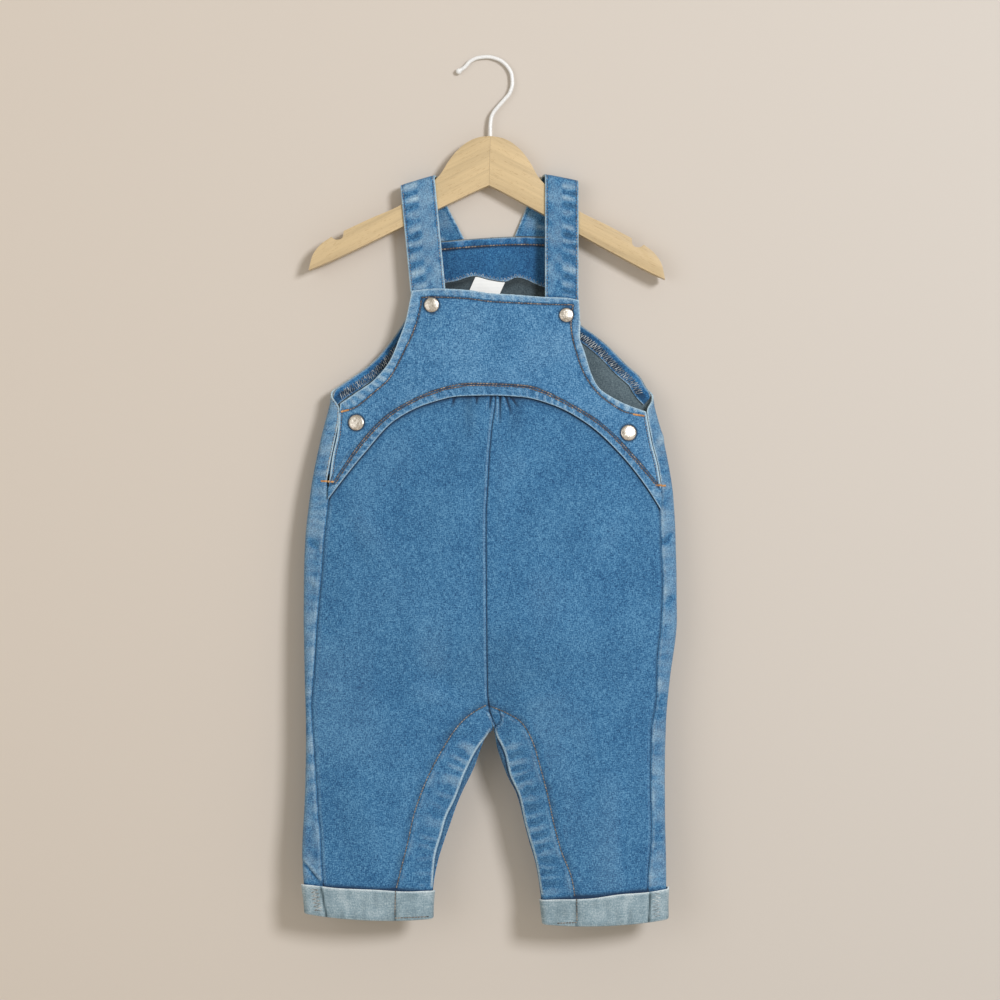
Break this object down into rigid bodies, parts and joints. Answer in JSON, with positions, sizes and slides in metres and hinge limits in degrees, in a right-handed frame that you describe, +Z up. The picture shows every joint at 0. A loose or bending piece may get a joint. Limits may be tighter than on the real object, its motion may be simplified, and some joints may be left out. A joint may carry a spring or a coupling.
{
  "type": "kids dungarees on a wooden hanger",
  "caption": "Toddler's washed denim dungarees with a bib, snapped straps, side snaps, gathered front and turned-up cuffs, hanging flat on a wooden hanger with a white wire hook.",
  "frame": {"origin": "underside of the hook's top bend, where a nail, peg or rail carries the hanger", "axes": "+Z up, -Y the garment's front, +X to the right seen from the front"},
  "size_m": [0.3161, 0.0356, 0.7335],
  "materials": {
    "denim": "washed blue denim twill, matt",
    "denim_wrong_side": "pale wrong side of the denim, matt",
    "label": "white woven tape, blank",
    "snap_metal": "satin nickel",
    "wood": "pale varnished hardwood, satin",
    "white_wire": "white powder coat"
  },
  "bodies": {
    "root": {"armhole_facing_left": "denim", "armhole_facing_right": "denim", "back_left": "denim", "back_right": "denim", "cuff_left": "denim_wrong_side", "cuff_right": "denim_wrong_side", "front_bib": "denim", "front_leg_left": "denim", "front_leg_right": "denim", "hanger_arm_left": "wood", "hanger_arm_right": "wood", "hanger_hook": "white_wire", "neck_facing": "denim", "neck_label": "label", "side_underlap_left": "denim", "side_underlap_right": "denim", "snap_bib_left": "snap_metal", "snap_bib_right": "snap_metal", "snap_side_left": "snap_metal", "snap_side_right": "snap_metal", "strap_left": "denim", "strap_right": "denim"}
  },
  "joints": []
}
